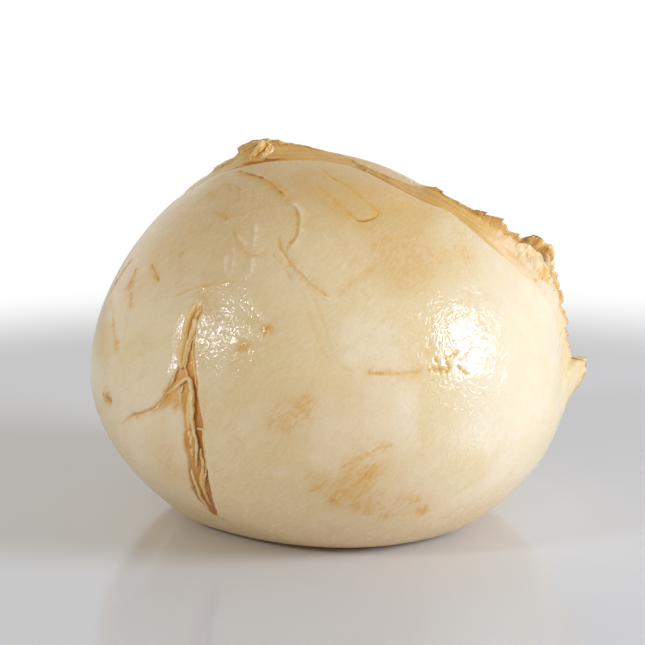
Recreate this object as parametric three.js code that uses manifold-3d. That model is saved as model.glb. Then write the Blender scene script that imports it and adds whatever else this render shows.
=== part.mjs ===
// Smoked mozzarella: one ball of pulled curd with a smoke-browned skin, settled flat on its underside.
// A fold in the skin runs down its front, and a torn seam, where the ball was pinched off, runs over its top.
// Millimetres, +Z up. The origin is the middle of the flat underside, and -Y is the front.

import * as THREE from "three";
import { mergeVertices } from "three/addons/utils/BufferGeometryUtils.js";
import Module from "manifold-3d";

const wasm = await Module();
wasm.setup();

// The ball, measured from its middle
const HALF_WIDTH = 50.7;
const HALF_DEPTH = 48.5;
const CROWN_RISE = 50;
const BOTTOM_DROP = 37.5;
const MIDDLE_HEIGHT = 27.6;

// The settled underside: the side rounds into it over the blend, and the cut leaves it flat
const SETTLE_BLEND = 3;
const SETTLE_CUT = 0.6;

// Broad swellings and hollows of the ball: angles in degrees, azimuth from the front towards the right
const LOBES = [
  { azimuth: 112, elevation: 50, height: -3.9, spread: 0.1 },
  { azimuth: -112, elevation: 58, height: 0.9, spread: 0.05 },
  { azimuth: -84, elevation: -24, height: -4.8, spread: 0.045 },
  { azimuth: -45, elevation: -34, height: -2.8, spread: 0.06 },
  { azimuth: 78, elevation: -34, height: -1.6, spread: 0.025 },
];

// The fold down the front: a cleft with strands of skin in it, and a branch to its left
const CLEFT = {
  path: [[-37.5, 35], [-35.5, 18], [-31.8, 1], [-31.2, -13], [-34.6, -27]],
  halfWidth: 2.6,
  halfHeight: 2.6,
  undercut: 0.45,
};
const BRANCH = {
  path: [[-35.4, 13], [-40, 7], [-49, 2.5], [-61, -4.5]],
  halfWidth: 1.6,
  halfHeight: 1.2,
};
const STRANDS = [
  { path: [[-38, 33], [-37, 18], [-34.5, 4], [-31.6, -9]], halfWidth: 0.8, halfHeight: 1.4, sunk: 1.5 },
  { path: [[-35.8, 12], [-32.4, 3], [-32, -10], [-34, -24]], halfWidth: 0.8, halfHeight: 1.5, sunk: 1.7 },
  { path: [[-33, -4], [-30.2, -11], [-31, -22]], halfWidth: 0.7, halfHeight: 1.4, sunk: 1.7 },
];

// The mesh of a cleft, branch, strand or scab: faces round it and along it
const CORD_SIDES = 8;
const CORD_STEPS = 18;

// A scab of torn skin on the left flank
const SCAB = { path: [[-84, 33], [-91, 25], [-93, 19], [-90, 14]], halfWidth: 2.1, halfHeight: 0.8 };

// The seam: a wavy ring round the pole of the back lobe, with a smooth band behind the dome's edge
const SEAM_POLE = { azimuth: 160.8, elevation: 20.8 };
const SEAM_ANGLE = 78.5;
const SEAM_WAVES = { count: 5, angle: 2.8, first: 43 };
const BAND_ANGLE = 8;
const BAND_STEP = 1.7;
const STEP_SHOWS = { from: -60, to: 66, fade: 12 };

// The torn lip along the back of the band: places round the seam in degrees from its top, heights in mm
const LIP_RUFFLES = [
  { at: -16, before: 10, after: 20, height: 3.8 },
  { at: 30, before: 10, after: 24, height: 2.4 },
  { at: 47, before: 8, after: 10, height: 3.8 },
  { at: 62, before: 9, after: 16, height: 6 },
  { at: 75, before: 12, after: 16, height: 4.6 },
  { at: 90, before: 2, after: 15, height: 6 },
  { at: -70, before: 40, after: 35, height: 1.1 },
  { at: 118, before: 14, after: 16, height: 0.8 },
];
const LIP_LOW = 0.5;
const LIP_THICKNESS_ANGLE = 0.9;
const LIP_TEAR = 0.25;
const LIP_ENDS = { at: 132, fade: 14 };

// The dome's skin runs out into the lip where there is no step, by a share of the lip's height
const FLARE_SHARE = 0.2;

// Rows across the lip and the band: degrees past the dome's edge, and the shares of the lip's height, of the step
// down and of the flare that the row stands at
const SECTION = [
  { past: -BAND_ANGLE - 4 * LIP_THICKNESS_ANGLE, lip: 0, step: 0, flare: 0 },
  { past: -BAND_ANGLE - 2 * LIP_THICKNESS_ANGLE, lip: 0.15, step: 0, flare: 0 },
  { past: -BAND_ANGLE - LIP_THICKNESS_ANGLE, lip: 0.9, step: 0, flare: 0 },
  { past: -BAND_ANGLE, lip: 1, step: 0, flare: 0 },
  { past: -0.5 * BAND_ANGLE, lip: 0.25, step: 0.5, flare: 1 },
  { past: -0.4, lip: 0, step: 1, flare: 1 },
  { past: 0.3, lip: 0, step: 0.25, flare: 1 },
  { past: 3, lip: 0, step: 0, flare: 0.3 },
];

// The ball's mesh: columns round the seam's pole, and rows on the lobe behind the lip and on the dome before it
const COLUMNS = 100;
const BACK_ROWS = 9;
const DOME_ROWS = 17;

// Loose torn sheets that stand behind one another on the band
const SHEETS = [
  { from: -29, to: -7, behind: 5.4, height: 2.6, lean: -0.6, seed: 11 },
  { from: -24, to: -8, behind: 9.6, height: 4.4, lean: 0.8, seed: 12 },
  { from: 39, to: 56, behind: 9.4, height: 3.9, lean: 0.9, seed: 13 },
  { from: 51, to: 68, behind: 4.6, height: 5.2, lean: -0.5, seed: 14 },
  { from: 53, to: 72, behind: 9.6, height: 8, lean: 1.4, seed: 15 },
  { from: 57, to: 70, behind: 12, height: 6.6, lean: 2.2, seed: 16 },
];
const SHEET_THICKNESS = 1;
const SHEET_THINNING = 0.5;
const SHEET_SUNK = 2;
const SHEET_TEAR = 0.4;
const SHEET_END = 0.04;
const SHEET_WAVE = 0.9;
const SHEET_WAVE_ANGLE = 6;
const SHEET_STEP_ANGLE = 1.1;
const SHEET_ROWS = 3;

const CHEESE_COLOUR = 0xe6cfa2;

const radians = THREE.MathUtils.degToRad;
const smooth = THREE.MathUtils.smoothstep;

// The unit vector at an azimuth and an elevation, in degrees
function direction(azimuth, elevation) {
  const around = radians(azimuth);
  const up = radians(elevation);
  return new THREE.Vector3(Math.sin(around) * Math.cos(up), -Math.cos(around) * Math.cos(up), Math.sin(up));
}

// The skin's distance from the middle: an egg, fuller above than below, with its lobes
function skinRadius(dir) {
  const height = dir.z > 0 ? CROWN_RISE : BOTTOM_DROP;
  const egg = 1 / Math.hypot(dir.x / HALF_WIDTH, dir.y / HALF_DEPTH, dir.z / height);
  return LOBES.reduce((radius, lobe) => {
    const cosine = dir.dot(direction(lobe.azimuth, lobe.elevation));
    return radius + lobe.height * Math.exp((cosine - 1) / lobe.spread);
  }, egg);
}

// The point at a height over the skin, with the underside pressed flat
function skinPoint(dir, lift = 0) {
  const point = dir.clone().multiplyScalar(skinRadius(dir) + lift);
  const raw = point.z + MIDDLE_HEIGHT + SETTLE_CUT;
  point.z = (raw + Math.hypot(raw, SETTLE_BLEND)) / 2 - SETTLE_CUT;
  return point;
}

// A closed geometry as a solid that can be joined and cut
function solid(geometry) {
  geometry.deleteAttribute("normal");
  geometry.deleteAttribute("uv");
  const merged = mergeVertices(geometry);
  return new wasm.Manifold(new wasm.Mesh({
    numProp: 3,
    vertProperties: merged.attributes.position.array,
    triVerts: new Uint32Array(merged.index.array),
  }));
}

// A simple geometry with each of its points moved to where the given rule puts it
function reshaped(geometry, place) {
  const position = geometry.attributes.position;
  const point = new THREE.Vector3();
  for (let i = 0; i < position.count; i += 1) {
    point.copy(place(point.fromBufferAttribute(position, i)));
    position.setXYZ(i, point.x, point.y, point.z);
  }
  return geometry;
}

// A tapered cord along a path on the skin: cut out it makes a cleft, and joined on it makes a strand
function cordOnSkin({ path, halfWidth, halfHeight, sunk = 0, undercut = 0 }) {
  const curve = new THREE.CatmullRomCurve3(path.map(([azimuth, elevation]) => direction(azimuth, elevation)));
  const unitBall = new THREE.SphereGeometry(1, CORD_SIDES, CORD_STEPS);
  return solid(reshaped(unitBall, (point) => {
    const along = Math.acos(THREE.MathUtils.clamp(point.y, -1, 1)) / Math.PI;
    const dir = curve.getPoint(along).normalize();
    const sideways = new THREE.Vector3().crossVectors(dir, curve.getTangent(along)).normalize();
    const aside = halfWidth * (point.x - undercut * Math.min(0, point.z));
    dir.addScaledVector(sideways, aside / HALF_WIDTH).normalize();
    return skinPoint(dir, halfHeight * point.z - sunk);
  }));
}

// The direction some degrees from the seam's pole, at an angle round the seam from its top
const seamPole = direction(SEAM_POLE.azimuth, SEAM_POLE.elevation);
const seamTop = new THREE.Vector3(0, 0, 1).addScaledVector(seamPole, -seamPole.z).normalize();
const seamRight = new THREE.Vector3().crossVectors(seamPole, seamTop);
function seamDirection(around, fromPole) {
  const out = Math.sin(radians(fromPole));
  return seamPole.clone().multiplyScalar(Math.cos(radians(fromPole)))
    .addScaledVector(seamTop, out * Math.cos(radians(around)))
    .addScaledVector(seamRight, out * Math.sin(radians(around)));
}

// The dome's edge, in degrees from the seam's pole
function domeEdge(around) {
  const { count, angle, first } = SEAM_WAVES;
  return SEAM_ANGLE + angle * Math.cos(radians(count * (around - first)));
}

// How far the band starts below the dome's edge
function bandStep(around) {
  const { from, to, fade } = STEP_SHOWS;
  return BAND_STEP * smooth(around, from - fade, from) * (1 - smooth(around, to, to + fade));
}

// The lip's height: the tallest ruffle at an angle round the seam, torn by a seeded draw for each column
function lipHeight(around) {
  const whole = LIP_RUFFLES.reduce((height, { at, before, after, height: top }) => {
    const away = around - at;
    return Math.max(height, top * (1 - smooth(Math.abs(away), 0, away < 0 ? before : after)));
  }, LIP_LOW);
  const ends = 1 - smooth(Math.abs(around), LIP_ENDS.at - LIP_ENDS.fade, LIP_ENDS.at);
  const column = Math.round((around / 360 + 1) * COLUMNS) % COLUMNS;
  return whole * ends * (1 - LIP_TEAR * THREE.MathUtils.seededRandom(column + 1));
}

// The ball's rows at an angle round the seam, from the back lobe's pole to the dome's: degrees from the pole
// and height over the skin. The band rises from the step to a thin torn crest that drops to the back lobe.
function profile(around) {
  const height = lipHeight(around);
  const step = bandStep(around);
  const flare = FLARE_SHARE * height * (1 - step / BAND_STEP);
  const lip = SECTION.map((row) => {
    return [domeEdge(around) + row.past, row.lip * height - row.step * step + row.flare * flare];
  });
  const back = Array.from({ length: BACK_ROWS }, (_, row) => [(lip[0][0] * row) / BACK_ROWS, 0]);
  const dome = Array.from({ length: DOME_ROWS }, (_, row) => {
    return [THREE.MathUtils.lerp(lip.at(-1)[0], 180, (row + 1) / DOME_ROWS), 0];
  });
  return [...back, ...lip, ...dome];
}

// The whole ball, from a unit ball whose poles are the back lobe's and the dome's
function ball() {
  const rows = profile(0).length - 1;
  const unitBall = new THREE.SphereGeometry(1, COLUMNS, rows);
  return solid(reshaped(unitBall, (point) => {
    const around = THREE.MathUtils.radToDeg(Math.atan2(-point.z, point.x));
    const row = Math.round((rows * Math.acos(THREE.MathUtils.clamp(point.y, -1, 1))) / Math.PI);
    const [fromPole, lift] = profile(around)[row];
    return skinPoint(seamDirection(around, fromPole), lift);
  }));
}

// A box whose far face is split along the same diagonals as its near face, so that a thin one can be bent
function sheetBox(steps, rows) {
  const box = new THREE.BoxGeometry(1, 1, 1, steps, 1, rows);
  const farFace = box.groups[3];
  for (let i = farFace.start; i < farFace.start + farFace.count; i += 6) {
    const [a, b, d, , c] = box.index.array.subarray(i, i + 6);
    box.index.array.set([a, b, c, a, c, d], i);
  }
  return box;
}

// A thin wavy sheet of skin standing on the band, ragged along its top and tapered to its ends
function tornSheet({ from, to, behind, height, lean, seed }) {
  const steps = Math.round((to - from) / SHEET_STEP_ANGLE);
  const draw = (step) => THREE.MathUtils.seededRandom(seed * steps + step);
  return solid(reshaped(sheetBox(steps, SHEET_ROWS), (point) => {
    const along = point.x + 0.5;
    const up = point.z + 0.5;
    const around = THREE.MathUtils.lerp(from, to, along);
    const torn = 1 - SHEET_TEAR * draw(Math.round(along * steps));
    const ends = Math.sqrt(Math.sin(Math.PI * THREE.MathUtils.clamp(along, SHEET_END, 1 - SHEET_END)));
    const lift = THREE.MathUtils.lerp(-SHEET_SUNK, height * torn * ends, up);
    const wave = SHEET_WAVE * Math.sin((2 * Math.PI * (around + seed)) / SHEET_WAVE_ANGLE) * up;
    const across = point.y * SHEET_THICKNESS * (1 - SHEET_THINNING * up) + wave + lean * up;
    const fromPole = domeEdge(around) - behind - THREE.MathUtils.radToDeg(across / HALF_DEPTH);
    return skinPoint(seamDirection(around, fromPole), lift);
  }));
}

// The largest body of a solid, without loose scraps or sealed pockets
function wholePiece(made) {
  const bodies = solid(geometryOf(made)).decompose();
  const largest = bodies.reduce((best, body) => (body.volume() > best.volume() ? body : best));
  return bodies.length === 1 ? largest : wholePiece(largest);
}

function cheese() {
  let made = ball().subtract(cordOnSkin(CLEFT)).subtract(cordOnSkin(BRANCH));
  for (const cord of [...STRANDS, SCAB]) made = made.add(cordOnSkin(cord));
  for (const sheet of SHEETS) made = made.add(tornSheet(sheet));
  const ground = new THREE.BoxGeometry(4 * HALF_WIDTH, 4 * HALF_DEPTH, BOTTOM_DROP).translate(0, 0, -BOTTOM_DROP / 2);
  return wholePiece(made.subtract(solid(ground)));
}

function geometryOf(made) {
  const { vertProperties, triVerts } = made.getMesh();
  const geometry = new THREE.BufferGeometry();
  geometry.setAttribute("position", new THREE.BufferAttribute(vertProperties, 3));
  geometry.setIndex(new THREE.BufferAttribute(triVerts, 1));
  geometry.computeVertexNormals();
  return geometry;
}

const skin = new THREE.MeshStandardMaterial({ color: CHEESE_COLOUR, roughness: 0.35, metalness: 0 });
const mozzarella = new THREE.Group();
const cheeseBall = new THREE.Mesh(geometryOf(cheese()), skin);
cheeseBall.name = "cheese_ball";
mozzarella.add(cheeseBall);

export default mozzarella;
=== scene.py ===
import math

import bmesh
import bpy
import numpy as np
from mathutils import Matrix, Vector


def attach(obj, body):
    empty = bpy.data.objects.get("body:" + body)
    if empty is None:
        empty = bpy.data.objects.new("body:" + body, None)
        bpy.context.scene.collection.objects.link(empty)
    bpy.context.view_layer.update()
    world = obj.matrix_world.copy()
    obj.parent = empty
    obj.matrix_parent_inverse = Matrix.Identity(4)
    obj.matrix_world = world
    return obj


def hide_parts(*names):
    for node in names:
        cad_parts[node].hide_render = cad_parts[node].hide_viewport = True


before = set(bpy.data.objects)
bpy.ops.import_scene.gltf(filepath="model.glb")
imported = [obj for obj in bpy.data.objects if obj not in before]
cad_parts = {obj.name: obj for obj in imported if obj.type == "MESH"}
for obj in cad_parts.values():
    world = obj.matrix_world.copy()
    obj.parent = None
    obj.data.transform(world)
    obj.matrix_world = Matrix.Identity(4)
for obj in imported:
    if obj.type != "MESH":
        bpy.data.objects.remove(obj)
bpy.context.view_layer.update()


# The ball of pulled curd
# Low-moisture cheese, stretched and folded by hand into one ball, then smoked until a thin skin dried on it.
# It has settled flat underneath, lapped over itself down the front and torn where it was pinched off.

MILLIMETRE = 0.001

# Sizes of the ball in millimetres
BALL = {
    "Half Width": 50.7,
    "Half Depth": 48.5,
    "Crown Rise": 50.0,
    "Bottom Drop": 37.5,
    "Middle Height": 27.6,
    "Settle Blend": 3.0,
    "Settle Cut": 0.6,
}
UNIT_BALL_RADIUS = BALL["Half Width"]

# Azimuth from the front towards the right and elevation in degrees, height in millimetres, spread
BALL_LOBES = [
    (112, 50, -3.9, 0.1),
    (-112, 58, 0.9, 0.05),
    (-84, -24, -4.8, 0.045),
    (-45, -34, -2.8, 0.06),
    (78, -34, -1.6, 0.025),
    (-14, -37, -0.9, 0.035),
]


def direction(azimuth, elevation):
    """Unit vectors at azimuths from the front towards the right, and at elevations, in degrees."""
    around = np.radians(azimuth)
    up = np.radians(elevation)
    return np.stack([np.sin(around) * np.cos(up), -np.cos(around) * np.cos(up), np.sin(up)], -1)


def smooth(value, low, high):
    """0 up to low, 1 from high, and a smooth rise between."""
    share = np.clip((value - low) / (high - low), 0, 1)
    return share * share * (3 - 2 * share)


# The seam runs round a pole at the back of the ball: degrees round it count from its top, towards the right
SEAM_POLE = direction(160.8, 20.8)
SEAM_TOP = np.array([0, 0, 1]) - SEAM_POLE * SEAM_POLE[2]
SEAM_TOP = SEAM_TOP / np.linalg.norm(SEAM_TOP)
SEAM_RIGHT = np.cross(SEAM_POLE, SEAM_TOP)
SEAM_ANGLE = 78.5
SEAM_WAVE_COUNT = 5
SEAM_WAVE_ANGLE = 2.8
SEAM_WAVE_FIRST = 43
LIP_ANGLE = 8

# The dome's edge, by degrees round the seam: degrees it lies further back, how far it swells up and drops to
# the band in millimetres, degrees of gold behind it, and the strength and half width in degrees of the line
# along it, which is brown skin and painted shadow of the gap under the edge
SEAM_EDGE = np.array([
    (-75, 0, 0, 0, 9, 0, 0.6), (-60, 0, 0, 1.2, 9, 0.1, 0.6), (-30, 0, 0.2, 1.7, 9, 0.4, 0.8),
    (-24, 0.6, 0.8, 1.7, 9, 0.6, 0.8), (-18, 0.5, 0.8, 1.7, 9, 0.9, 0.9), (-12, 0.4, 0.8, 1.7, 9, 1, 0.9),
    (-8, 0, 0.7, 1.7, 9, 0.7, 0.8), (-4, 0.1, 0.4, 1.6, 9, 0.1, 0.6), (3, 0.3, 0.2, 1.6, 8, 0, 0.5),
    (10, 0.3, 0, 1.6, 4.6, 0.25, 0.5), (16, -1.1, 0, 1.7, 3, 0.7, 0.5), (20, -1.4, 0, 1.7, 3.4, 1, 0.6),
    (24, -1.2, 0, 1.6, 5, 1.1, 0.6), (29.5, -0.2, 0, 1.3, 8, 1, 0.5), (33, 1.6, 0.4, 1, 9, 0.6, 0.4),
    (36, 2.4, 0.8, 0.8, 9, 0.4, 0.4), (41, 1.9, 0.8, 0.7, 9, 0.4, 0.35), (50, 1.4, 0.8, 0.7, 9, 0.7, 0.3),
    (53, 2, 0.8, 0.6, 9, 0.8, 0.3), (59.5, 2, 0.8, 0.6, 9, 0.6, 0.3), (65.5, 3.4, 0.8, 0.5, 9, 0.5, 0.35),
    (70.5, 3.3, 0.8, 0.4, 9, 0.7, 0.4), (73, 2.6, 0.6, 0.2, 9, 0, 0.4), (76, 2, 0.4, 0, 9, 0, 0.4),
    (84, 0, 0, 0, 9, 0, 0.4),
])


def seam_edge(around):
    """What the table of the dome's edge says at degrees round the seam."""
    return [np.interp(around, SEAM_EDGE[:, 0], column) for column in SEAM_EDGE[:, 1:].T]


def seam_place(ways):
    """Degrees round the seam, and degrees past the dome's edge, of unit vectors."""
    around = np.degrees(np.arctan2(ways @ SEAM_RIGHT, ways @ SEAM_TOP))
    from_pole = np.degrees(np.arccos(np.clip(ways @ SEAM_POLE, -1, 1)))
    wave = np.cos(np.radians(SEAM_WAVE_COUNT * (around - SEAM_WAVE_FIRST)))
    past = from_pole - SEAM_ANGLE - SEAM_WAVE_ANGLE * wave
    return around, past + seam_edge(around)[0] * smooth(past, -7, -3)


# The lip behind the band: degrees round the seam, and its height in millimetres
LIP_HEIGHTS = np.array([
    (-132, 0), (-110, 0.6), (-70, 1.1), (-45, 0.8), (-33, 0.5), (-30, 0.9), (-26.5, 1.2), (-23.5, 1.5),
    (-21.5, 2.4), (-20, 3.2), (-18, 3.6), (-14, 3.5), (-12, 3.1), (-10.5, 2.4), (-8.5, 2.1), (-5, 1.6),
    (-3, 1.1), (0, 0.7), (4, 0.4), (26, 0.4), (30.5, 1.3), (34.5, 1.4), (38.5, 1.8), (43, 2.2), (48, 2.8),
    (53, 3.4), (58, 3.9), (64, 3.8), (70, 3.6), (74, 3.6), (76.5, 2.6), (79.5, 2.6), (82, 2.8), (82.5, 1.8),
    (85, 2.3), (86, 1.6), (89, 2), (91, 2.6), (91.5, 5.2), (93, 5.2), (95.5, 5), (98, 4), (99.5, 3.1),
    (101, 2.2), (103, 1.4), (106, 0.7), (118, 0.8), (132, 0),
])
LIP_END = 132
FLARE_SHARE = 0.2

# Rows across lip and band: degrees past the dome's edge, then shares of the lip, the step and the flare
SEAM_SECTION = np.array([
    (-12.4, 0, 0, 0),
    (-10.6, 0.03, 0, 0),
    (-9.6, 0.22, 0, 0),
    (-9.0, 0.7, 0, 0),
    (-8.7, 0.97, 0, 0),
    (-8.3, 1, 0, 0.1),
    (-7.6, 0.8, 0.05, 0.3),
    (-6.6, 0.58, 0.15, 0.6),
    (-4.0, 0.2, 0.5, 1),
    (-1.4, 0, 0.82, 1),
    (-0.25, 0, 1, 1),
    (0.05, 0, 0.55, 1),
    (0.4, 0, 0.14, 1),
    (1.2, 0, 0, 0.8),
    (3.4, 0, 0, 0.3),
    (7.0, 0, 0, 0),
])


WAVER_LEVELS = 999


def waver(value, spacing, seed):
    """A seeded ragged line between -1 and 1, with a new level at each spacing."""
    levels = np.random.default_rng(seed).uniform(-1, 1, WAVER_LEVELS)
    place = value / spacing
    first = np.floor(place).astype(int)
    share = smooth(place - first, 0, 1)
    return levels[first % WAVER_LEVELS] * (1 - share) + levels[(first + 1) % WAVER_LEVELS] * share


def lip_height(around):
    return np.interp(around, LIP_HEIGHTS[:, 0], LIP_HEIGHTS[:, 1])


def seam_lift(ways):
    """Height of the seam's step, band and lip over the plain skin."""
    around, past = seam_place(ways)
    lip, step, flare = (np.interp(past, SEAM_SECTION[:, 0], shares) for shares in SEAM_SECTION[:, 1:].T)
    swell, depth = seam_edge(around)[1:3]
    swell = swell * np.exp(-np.maximum(past, 0) / 7) * smooth(past, -0.3, 0.4)
    height = lip_height(around)
    lip = lip * (1 + lip**4 * (0.07 * waver(around, 1.3, 3) + 0.05 * waver(around, 0.5, 4)))
    return lip * height - step * depth + swell + flare * FLARE_SHARE * height * smooth(around, 64, 73)


def smooth_path(stops, steps=12):
    """Unit vectors along a smooth line through places given as azimuth and elevation."""
    points = direction(*np.array(stops, float).T)
    ends = np.concatenate([[2 * points[0] - points[1]], points, [2 * points[-1] - points[-2]]])
    line = []
    for before, start, end, after in zip(ends, ends[1:], ends[2:], ends[3:]):
        share = np.linspace(0, 1, steps, endpoint=False)[:, None]
        first = 2 * before - 5 * start + 4 * end - after
        second = 3 * start - 3 * end + after - before
        bend = first * share + second * share**2
        line.append(start + share * ((end - before) + bend) / 2)
    line = np.concatenate(line + [points[-1:]])
    return line / np.linalg.norm(line, axis=1, keepdims=True)


def path_place(ways, stops):
    """For unit vectors: the share run of the path beside them, millimetres to its right, and that way."""
    line = smooth_path(stops)
    run = np.concatenate([[0], np.cumsum(np.linalg.norm(np.diff(line, axis=0), axis=1))])
    along = np.gradient(line, axis=0)
    right = np.cross(line, along)
    right = right / np.linalg.norm(right, axis=1, keepdims=True)
    share = np.zeros(len(ways))
    aside = np.full(len(ways), 1e3)
    side = np.zeros_like(ways)
    middle = line.mean(0) / np.linalg.norm(line.mean(0))
    reach = np.min(line @ middle) - 0.06
    near = np.flatnonzero(ways @ middle > reach)
    nearest = np.argmax(ways[near] @ line.T, axis=1)
    offset = ways[near] - line[nearest]
    across = np.einsum("ij,ij->i", offset, right[nearest])
    distance = np.linalg.norm(offset, axis=1) * np.where(across < 0, -1, 1)
    share[near] = run[nearest] / run[-1]
    aside[near] = distance * UNIT_BALL_RADIUS
    side[near] = right[nearest]
    return share, aside, side


# The lap down the front: its crisp right edge, its width and depth along it, and the branch to its left
LAP_EDGE = [
    (-35, 32), (-35, 29), (-35, 25), (-34, 19), (-32, 11.5), (-30, 3.5), (-29.5, -1), (-29.5, -7),
    (-30, -13), (-31, -18), (-32.5, -23.5), (-35, -29),
]
LAP_LENGTH = 54
LAP_WIDTH = (
    [0, 0.06, 0.15, 0.26, 0.45, 0.65, 0.8, 0.87, 0.93, 1],
    [1.5, 3.2, 4.2, 5, 5.3, 5.3, 5.2, 4.6, 2.8, 1],
)
LAP_DEPTH = ([0, 0.08, 0.25, 0.5, 0.8, 0.92, 1], [0.12, 0.5, 0.85, 0.75, 0.7, 0.65, 0.15])
LAP_HOLLOW = 0.6
LAP_OVERHANG = 0.15
LAP_BULGE = 0.3
BRANCH = [(-39, 16), (-40, 11.5), (-42, 7.5), (-44.5, 5), (-48.5, 3), (-53.5, 1), (-60, -4)]
BRANCH_STEP = 0.6

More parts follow.
